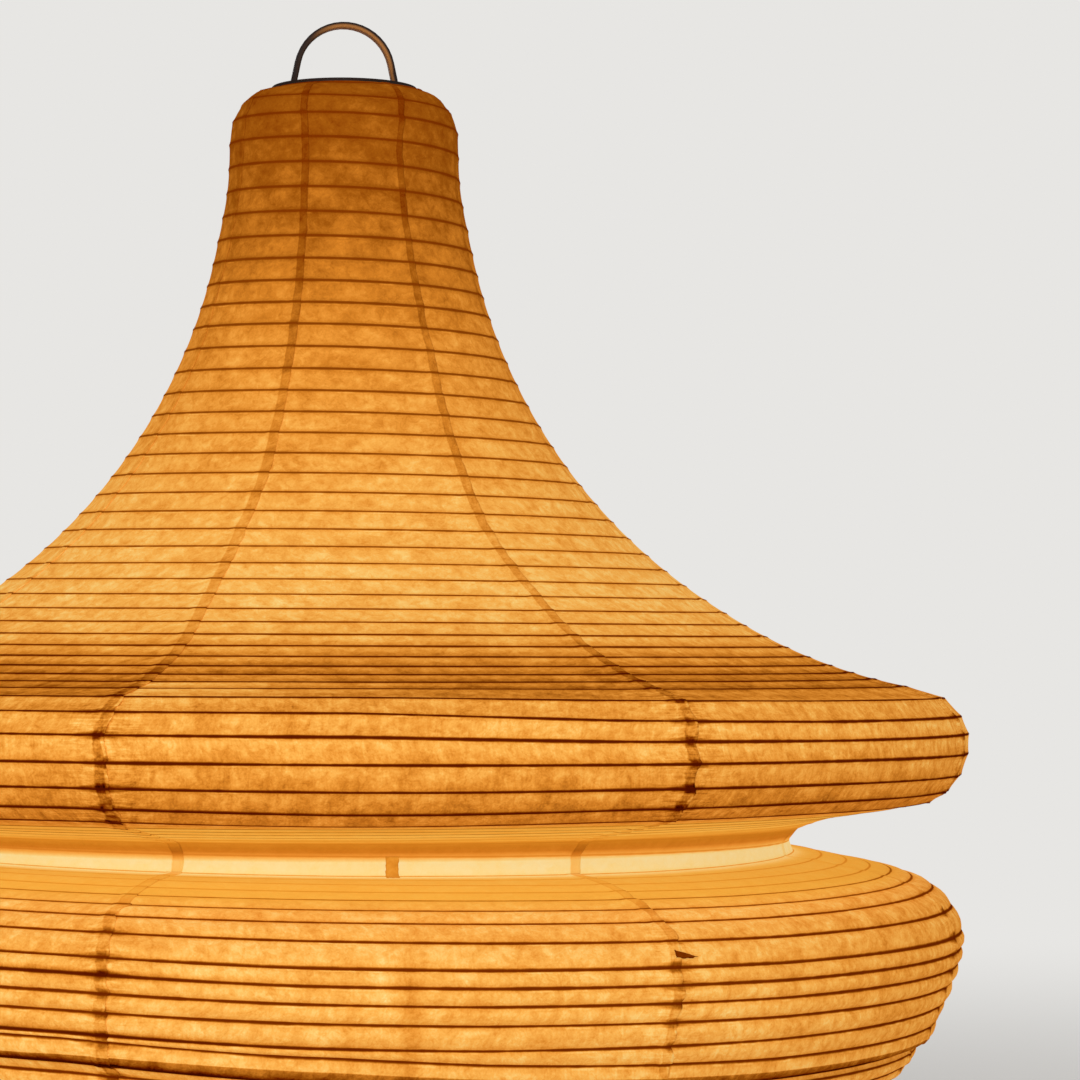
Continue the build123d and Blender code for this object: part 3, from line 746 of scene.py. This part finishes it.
def finish_paper(s, level, smooth):
    """Turn a level of brightness into the paper's colour, partly glowing."""
    colour = s.ramp(level, [(at, srgb(*tone)) for at, tone in TONES])
    colour = s.mix(smooth, colour, s.stretched(colour, GOLDEN))
    s.set("Base Color", s.dimmed(colour, PAPER_SHARE))
    s.set("Emission Color", colour)
    s.set("Emission Strength", PAPER_GLOW)
    s.material.cycles.emission_sampling = "NONE"


class Washi(Shader):
    """The gores' paper. Most methods take the level of brightness and return it changed.

    Distances to ribs and seams are in mm.
    """

    def __init__(self):
        super().__init__("washi_paper", roughness=0.85, specular_ior_level=0.0)
        self.flat, self.rest = self.vector("flat"), self.vector("rest")
        self.rib, self.seam = self.value("rib_distance"), self.value("seam_distance")
        self.place, self.side, self.bold = self.value("place"), self.value("side"), self.value("bold")
        self.count = self.times_plus(self.place, float(LAST_PLACE - FIRST_PLACE), FIRST_PLACE)
        self.on_lip = self.band(self.count, LIP)
        self.on_tier = self.step(self.count, *TIER)
        self.on_waist = self.band(self.count, WAIST)
        self.rough = self.larger(self.on_lip, self.times(self.on_tier, TIER_ROUGHNESS))
        self.smooth = self.band(self.count, SMOOTH)
        even = self.minus(1.0, self.times(self.smooth, 0.8))
        self.texture = self.times(even, self.step(self.count, 0.0, 18.0, 0.5, 1.0))
        self.blotches = self.noise(self.flat, 240.0, 3.0, 0.6, 0.5)
        self.specks = self.noise(self.flat, 1100.0, roughness=0.6)
        self.wrinkles = self.noise(self.stretched(self.flat, (330.0, 50.0, 1.0)), 1.0, 3.0, 0.55, 1.1)
        # the overlap's edge wavers
        self.wobble = self.swing(self.noise(self.flat, 320.0), self.times_plus(self.rough, 3.0, 0.8))
        self.reach = self.plus(self.seam, self.wobble)
        # the painted shadow in which folded paper lies, below 0 where painted light falls
        past = self.step(self.value("past_edge"), 0.0, 0.05)
        self.fold = self.plus(self.value("fold"), self.times(self.value("overhang"), past))

    def bulb_light(self):
        span = LAST_PLACE - FIRST_PLACE
        stops = [((at - FIRST_PLACE) / span, (value, value, value, 1.0)) for at, value in LEVELS]
        return self.ramp(self.place, stops)

    def fibres(self, level):
        """Clouds, blotches, specks, wrinkles and dark threads of hand-made paper."""
        clouds = self.noise(self.flat, 75.0, 3.0, 0.6)
        curls = self.noise(self.flat, 105.0, distortion=1.4)
        threads = self.step(self.math("ABSOLUTE", self.minus(curls, 0.5)), 0.0, 0.03, 1.0, 0.0)
        on_neck = self.step(self.count, 14.0, 4.0)
        swings = self.plus(
            self.swing(clouds, self.times_plus(on_neck, 0.14, 0.31)),
            self.swing(self.blotches, self.times_plus(self.rough, 0.05, 0.36)),
            self.swing(self.specks, self.times_plus(self.rough, 0.06, 0.14)),
            self.swing(self.wrinkles, self.times(self.rough, 0.20)),
            self.times(threads, -0.035),
        )
        return self.times_plus(swings, self.texture, level)

    def bright_tops(self, level):
        """Painted light and shade by each pitch's slope: brighter in its upper half, most of all where the
        bell runs into the flange.
        """
        halves = self.times_plus(self.band(self.count, BELL_FOOT), 0.055, self.times(self.rough, 0.025))
        return self.times_plus(self.side, halves, level)

    def rib_shadows(self, level):
        """Soft shadow spreads from the bamboo."""
        spread = self.times(self.step(self.rib, 2.4, 0.4), self.step(self.blotches, 0.3, 0.7, 0.03, 0.12))
        return self.minus(level, self.times(spread, self.texture))

    def upright_shadows(self, level):
        """The frame's four uprights cast soft shadows on the lower tier."""
        axes = self.axes(self.rest)
        across = self.math("MINIMUM", self.math("ABSOLUTE", axes["X"]), self.math("ABSOLUTE", axes["Y"]))
        depth = self.step(self.count, 52.5, 60.0, 0.0, 0.11)
        return self.minus(level, self.times(self.step(across, 0.0075, 0.0004), depth))

    def overlaps(self, level):
        """Two layers of paper and glue where the gores overlap, with a darker border."""
        strip = self.step(self.reach, WIDE + 0.1, WIDE - 0.6)
        patches = self.step(self.noise(self.flat, 300.0, roughness=0.6), 0.40, 0.62)
        uneven = self.times_plus(self.minus(0.75, patches), self.times(self.rough, -0.6), 1.0)
        faint = self.times(self.smooth, self.times_plus(self.on_waist, 0.75, -0.7))
        strong = self.times_plus(self.on_tier, -0.3, self.times_plus(self.on_lip, 0.35, 1.0))
        drop = self.step(self.count, 0.0, 15.0, 0.058, 0.12)
        drop = self.times(drop, uneven, self.plus(faint, strong), self.bold)
        level = self.minus(level, self.times(strip, drop))
        border = self.band(self.reach, (WIDE - 0.7, WIDE - 0.2, WIDE, WIDE + 0.4))
        return self.plus(level, self.times(border, self.times(self.bold, -0.06)))

    def stains_and_wedge_shadows(self, level):
        """Stains where the bamboo crosses the overlap, and painted shadow wedges that taper out along the
        bamboo.
        """
        near_rib = self.step(self.plus(self.rib, self.times(self.wobble, 0.5)), 2.8, 0.9)
        crossing = self.times(self.step(self.reach, WIDE + 1.0, WIDE - 1.0), near_rib)
        taper = self.times_plus(self.minus(self.reach, WIDE), 0.12, self.rib)
        # painted shadow wedges, tapering out along the bamboo from the overlap
        wedge_shadow = self.times(self.step(self.reach, 17.0, WIDE, 0.0, 0.7), self.step(taper, 2.3, 1.2))
        torn = self.larger(self.rough, self.on_tier)
        patches = self.step(self.noise(self.flat, 90.0), 0.38, 0.52)
        stain_and_wedge_shadow = self.times(self.larger(crossing, wedge_shadow), torn, patches)
        return self.times_plus(stain_and_wedge_shadow, -0.27, level)

    def crease_shading(self, level):
        """Painted highlight on pale torn slivers along the free edge, and painted light and shade of fine
        creases that run away from it.
        """
        patches = self.step(self.noise(self.flat, 170.0, 1.0), 0.48, 0.60)
        # painted highlight along the torn free edge
        sliver_highlight = self.times(self.band(self.seam, (-0.2, 0.1, 0.7, 1.5)), patches)
        level = self.times_plus(self.times(sliver_highlight, self.rough), 0.2, level)
        # painted light and shade of fine creases near the seams
        crease_shading = self.noise(self.stretched(self.flat, (60.0, 620.0, 1.0)), 1.0, 2.0, 0.55, 1.6)
        creased = self.larger(self.rough, self.band(self.count, CREASED))
        near_seam = self.times(self.step(self.seam, 26.0, 4.0), creased)
        return self.plus(level, self.swing(crease_shading, self.times(near_seam, 0.42)))

    def ripples(self, level):
        """Long wrinkles under the flange."""
        ripples = self.noise(self.stretched(self.flat, (9.0, 560.0, 1.0)), 1.0, 3.0, 0.6, 0.6)
        amount = self.times(self.band(self.count, UNDERSIDE), 0.42)
        return self.plus(level, self.swing(ripples, amount))

    def fold_shadows_and_light(self, level):
        # painted shadow of the folds, and painted light where the fold value is below 0
        return self.times_plus(self.fold, -0.38, level)

    def bamboo_shadow_lines(self, level):
        """Painted shadow of the bamboo as a dark line on the paper, with painted highlight flecks where the
        paper leaves it.
        """
        distance = self.plus(self.rib, self.swing(self.noise(self.flat, 160.0), 0.45))
        torn = self.noise(self.stretched(self.flat, (90.0, 20.0, 1.0)))
        fleck_highlight = self.times(self.band(distance, (0.5, 0.75, 1.0, 1.5)), self.step(self.side, 0.0, 0.3))
        fleck_highlight = self.times(fleck_highlight, self.step(torn, 0.52, 0.66), self.texture)
        level = self.times_plus(fleck_highlight, 0.10, level)

        # the dark line is the bamboo's painted shadow, broader and darker in the folds' painted shadow
        dark = self.larger(self.band(self.count, DARK_RIBS), self.times(self.on_tier, TIER_ROUGHNESS))
        uneven = self.noise(self.stretched(self.flat, (13.0, 95.0, 3.0)), detail=1.0)
        in_fold = self.larger(self.fold, 0.0)
        width = self.step(self.count, 8.0, 22.0, 0.90, 0.72)
        width = self.times_plus(self.step(uneven, 0.36, 0.64), self.times(dark, 0.42), width)
        width = self.times_plus(self.band(self.count, BROAD_RIBS), 0.4, width)
        width = self.times_plus(in_fold, 0.55, width)
        line = self.step(distance, width, self.times(width, 0.25))
        hidden = self.band(self.count, HIDDEN_RIBS)
        line_level = self.times_plus(dark, -0.17, self.step(self.count, 0.0, 20.0, 0.20, 0.25))
        line_level = self.larger(line_level, self.times(hidden, 0.50))
        line_level = self.times_plus(in_fold, -0.07, line_level)
        return self.mix_values(self.times(line, self.times_plus(hidden, -0.3, 0.93)), level, line_level)

    def relief(self):
        height = self.times_plus(self.blotches, 0.5, self.times(self.wrinkles, self.rough, 0.8))
        self.bump(self.times_plus(self.specks, 0.2, height), 0.0006, 0.55)


def washi():
    s = Washi()
    level = s.bulb_light()
    for change in (s.fibres, s.bright_tops, s.rib_shadows, s.upright_shadows, s.overlaps, s.stains_and_wedge_shadows,
                   s.crease_shading, s.ripples, s.fold_shadows_and_light, s.bamboo_shadow_lines):
        level = change(level)
    finish_paper(s, level, s.times(s.smooth, s.times_plus(s.on_waist, -0.75, 1.0)))
    s.relief()
    return s.material


def patch_paper(name, shade):
    """A strip of the same paper: it makes two or more layers, so it is darker than the paper around it."""
    s = Shader(name, roughness=0.85, specular_ior_level=0.0)
    flat = s.vector("flat")
    grain = s.noise(flat, 420.0, 3.0, 0.6)
    cloud = s.noise(flat, 130.0, roughness=0.6)
    edge = s.step(s.value("seam_distance"), 0.7, 0.1, 0.0, -0.05)
    level = s.plus(s.times_plus(s.minus(grain, 0.5), 0.2, shade), edge)
    level = s.times_plus(s.minus(cloud, 0.5), 0.14, level)
    finish_paper(s, level, 0.8)
    s.bump(grain, 0.0004, 0.5)
    return s.material


def bamboo():
    s = Shader("split_bamboo", roughness=0.6)
    grain = s.noise(s.stretched(s.position(), (1.0, 1.0, 6.0)), 260.0, 3.0, 0.6)
    s.set("Base Color", s.ramp(grain, [(0.3, srgb(84, 52, 26)), (0.7, srgb(140, 96, 52))]))
    s.bump(grain, 0.0002, 0.4)
    return s.material


def metal(name, dark, light, roughness, metallic=0.0, scale=160.0, bump=0.00008):
    """Painted, moulded or plated: two tones, uneven gloss and a fine surface."""
    s = Shader(name, metallic=metallic)
    position = s.position()
    cloud = s.noise(position, scale, 4.0, 0.65)
    fine = s.noise(position, scale * 9, roughness=0.6)
    s.set("Base Color", s.ramp(cloud, [(0.32, srgb(*dark)), (0.7, srgb(*light))]))
    s.set("Roughness", s.step(cloud, 0.25, 0.75, roughness - 0.08, roughness + 0.1))
    s.bump(fine, bump, 0.5)
    return s


CROWN_BEND = 0.0222  # from the handle's top down to the centre of its bend
CROWN_MIDDLE = 0.0209  # radius of the bend at the middle of the bar
LEG_SLOPE = 0.2085  # how fast the legs spread below the bend
BAR_THICKNESS = 0.0026


def lit_bronze():
    """The frame's bar: dark bronze paint, with the bulb's light painted on as a warm patch."""
    s = metal("bronze_bar", (24, 11, 5), (42, 21, 10), 0.62, bump=0.00002)
    s.set("Specular IOR Level", 0.2)
    handle_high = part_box("handle_bar")[1]
    bend = handle_high.z - CROWN_BEND
    axes = s.axes(s.position())
    over = s.minus(axes["Z"], bend)
    across = axes["X"]
    radial = s.node("ShaderNodeCombineXYZ", {0: across, 1: 0.0, 2: s.larger(over, 0.0)}).outputs[0]
    middle = s.times_plus(s.larger(s.times(over, -1.0), 0.0), LEG_SLOPE, CROWN_MIDDLE)
    waver = s.times_plus(s.noise(s.position(), 45.0, 1.0), 0.4, -0.2)
    # about -0.5 at the bar's inner face and 0.5 at its outer one
    depth = s.plus(s.math("DIVIDE", s.minus(s.length(radial), middle), BAR_THICKNESS), waver)
    # painted light on the inner face, over the crown and down the right leg
    lit_side = s.step(across, -0.017, -0.003)
    painted_bulb_light = s.times(s.step(depth, 0.28, -0.1), s.times_plus(lit_side, 0.9, 0.04))
    fade = s.step(over, -0.016, 0.012, 0.4, 0.9)
    base = s.bsdf.inputs["Base Color"].links[0].from_socket
    s.set("Base Color", s.mix(s.times(painted_bulb_light, fade), base, srgb(178, 116, 56)))
    return s.material


def glass():
    s = Shader("lit_bulb_glass", roughness=0.22, coat_weight=0.4)
    cloud = s.noise(s.position(), 45.0)
    colour = s.ramp(cloud, [(0.2, srgb(255, 216, 150)), (0.8, srgb(255, 230, 184))])
    s.set("Base Color", s.dimmed(colour, 0.35))
    s.set("Emission Color", colour)
    s.set("Emission Strength", 0.85)
    s.material.cycles.emission_sampling = "NONE"
    return s.material


def assign(nodes, material):
    """Give CAD nodes a better material."""
    for node in nodes:
        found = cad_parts[node]
        mesh_object = found if isinstance(found, bpy.types.Object) else bpy.data.objects[node]
        if not mesh_object.material_slots:
            mesh_object.data.materials.append(None)
        for place in mesh_object.material_slots:
            place.link = "OBJECT"
            place.material = material


# ---- the shade ----
paper_material = washi()
bamboo_material = bamboo()


def on_shade(piece, material):
    piece.data.materials.append(material)
    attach(piece, "shade")
    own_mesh(piece)


for number in range(GORES):
    gore = build_gore(number)
    on_shade(gore, paper_material)
    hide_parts(f"paper_panel_{number + 1}")

patch = build_patch("waist_patch", seed=70, turns=(47.95, 49.3), degrees=0.2, radius=WAIST_RADIUS,
                    width=0.005, lift=0.00028)
on_shade(patch, patch_paper("washi_patch_paper", 0.60))
# the flap's dark level is partly its layers of paper, partly painted shadow
flap = build_patch("torn_flap", seed=71, turns=(56.45, 56.72), degrees=22.4, radius=TIER_RADIUS,
                   width=0.0098, lift=0.0009, pointed=True)
on_shade(flap, patch_paper("washi_flap_paper", 0.20))
spiral = build_rib()
on_shade(spiral, bamboo_material)
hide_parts("neck_ribs", "bell_ribs", "flange_ribs", "underside_ribs", "waist_ribs", "tier_ribs",
            "bowl_ribs")

# ---- the solids that stay ----
ring_paint = metal("ring_paint", (26, 12, 5), (40, 21, 11), 0.7)
ring_paint.set("Specular IOR Level", 0.25)
assign(["top_ring", "bottom_ring"], ring_paint.material)
assign(["handle_bar"], lit_bronze())
FINISHES = [
    (["front_strap", "rear_strap", "crown_plate", "base_ring", "base_plate", "bottom_ring_seats",
      "crown_rivets", "base_rivets"],
     metal("bronze_paint", (44, 28, 18), (72, 48, 30), 0.4, 0.3)),
    (["feet"], metal("foot_rubber", (22, 21, 20), (38, 36, 34), 0.8, 0.0, 220.0, 0.0002)),
    (["stem_tube", "stem_lower_nut", "stem_washer", "stem_upper_nut", "holder_under_nut", "holder_nut",
      "terminal_screws"],
     metal("zinc_plate", (150, 146, 138), (186, 182, 172), 0.32, 0.95, 120.0)),
    (["cord_gland", "holder_cap", "holder_shell", "holder_ring"],
     metal("moulded_black", (22, 20, 18), (34, 31, 28), 0.45, 0.0, 300.0, 0.0001)),
    (["ceramic_insert", "bulb_insulator"],
     metal("white_ceramic", (206, 200, 188), (228, 223, 212), 0.5, 0.0, 90.0, 0.0001)),
    (["thread_shell", "centre_contact", "bulb_tip"],
     metal("satin_brass", (168, 120, 58), (206, 156, 84), 0.3, 0.9)),
    (["bulb_cap"], metal("rolled_cap", (176, 176, 174), (206, 206, 204), 0.28, 0.9)),
]
for nodes, finish in FINISHES:
    assign(nodes, finish.material)
assign(["bulb_globe", "bulb_stem", "bulb_filaments"], glass())


# ---- stage, light and camera ----
PHOTO_SIZE = 1080.0
FOCAL_PIXELS = 3650.0
AXIS_COLUMN = 343.5  # where the lamp's axis stands in the photograph
HORIZON_ROW = 650.0
CAMERA_DISTANCE = 1.596
CAMERA_HEIGHT = 0.280
PALE = (0.80, 0.79, 0.77, 1.0)
FLOOR_RADIUS = 14.0
FLOOR_FADE = (0.7, 2.1)  # between these distances it fades into the backdrop's colour
WORLD_COLOUR = (1.0, 0.985, 0.96, 1.0)
WORLD_STRENGTH = 0.32
LIGHT_AIM = Vector((0, 0, 0.28))
LIGHTS = [  # name, spot and size in metres, watts
    ("key", (-0.8, -2.8, 1.25), 1.5, 54.0),
    ("fill", (2.4, 0.2, 1.2), 1.8, 7.0),
    ("back", (0.0, 2.6, 1.7), 1.8, 30.0),
]


def make_floor():
    bpy.ops.mesh.primitive_circle_add(vertices=96, radius=FLOOR_RADIUS, fill_type="NGON", location=(0, 0, 0))
    floor = bpy.context.object
    floor.name = "floor"
    s = Shader("pale_floor", roughness=0.9, specular_ior_level=0.1)
    s.set("Base Color", PALE)
    geometry = s.node("ShaderNodeNewGeometry")
    far = s.step(s.length(geometry.outputs["Position"]), *FLOOR_FADE)
    plain = s.node("ShaderNodeEmission", {"Color": PALE, "Strength": 1.0})
    path = s.node("ShaderNodeLightPath")
    fade = s.node("ShaderNodeMixShader", {0: s.times(far, path.outputs["Is Camera Ray"]),
                                          1: s.bsdf.outputs[0], 2: plain.outputs[0]})
    # from below it is clear, so that views from there show the lamp
    clear = s.node("ShaderNodeBsdfTransparent")
    under = s.node("ShaderNodeMixShader", {0: geometry.outputs["Backfacing"], 1: fade.outputs[0],
                                           2: clear.outputs[0]})
    s.tree.links.new(under.outputs[0], s.tree.nodes["Material Output"].inputs["Surface"])
    floor.data.materials.append(s.material)


def make_world():
    world = bpy.data.worlds.new("studio")
    bpy.context.scene.world = world
    world.use_nodes = True
    tree = world.node_tree
    light = tree.nodes["Background"]
    light.inputs["Color"].default_value = WORLD_COLOUR
    light.inputs["Strength"].default_value = WORLD_STRENGTH
    seen = tree.nodes.new("ShaderNodeBackground")
    seen.inputs["Color"].default_value = PALE
    path = tree.nodes.new("ShaderNodeLightPath")
    mix = tree.nodes.new("ShaderNodeMixShader")
    tree.links.new(path.outputs["Is Camera Ray"], mix.inputs[0])
    tree.links.new(light.outputs[0], mix.inputs[1])
    tree.links.new(seen.outputs[0], mix.inputs[2])
    tree.links.new(mix.outputs[0], tree.nodes["World Output"].inputs["Surface"])


def make_light(name, spot, size, power):
    data = bpy.data.lights.new(name, "AREA")
    data.energy = power
    data.size = size
    lamp = bpy.data.objects.new(name, data)
    lamp.location = spot
    lamp.rotation_euler = (LIGHT_AIM - Vector(spot)).to_track_quat("-Z", "Y").to_euler()
    bpy.context.scene.collection.objects.link(lamp)


def make_camera():
    data = bpy.data.cameras.new("camera")
    data.sensor_width = 36.0
    data.lens = FOCAL_PIXELS / PHOTO_SIZE * data.sensor_width
    data.clip_start, data.clip_end = 0.05, 60.0
    camera = bpy.data.objects.new("camera", data)
    camera.location = (CAMERA_DISTANCE * math.sin(FRONT), -CAMERA_DISTANCE * math.cos(FRONT), CAMERA_HEIGHT)
    turn = math.atan((PHOTO_SIZE / 2 - AXIS_COLUMN) / FOCAL_PIXELS)
    tip = math.atan((HORIZON_ROW - PHOTO_SIZE / 2) / FOCAL_PIXELS)
    camera.rotation_euler = (math.pi / 2 + tip, 0, FRONT - turn)
    bpy.context.scene.collection.objects.link(camera)
    bpy.context.scene.camera = camera


make_floor()
make_world()
for light in LIGHTS:
    make_light(*light)
make_camera()

view = bpy.context.scene.view_settings
view.view_transform = "Standard"
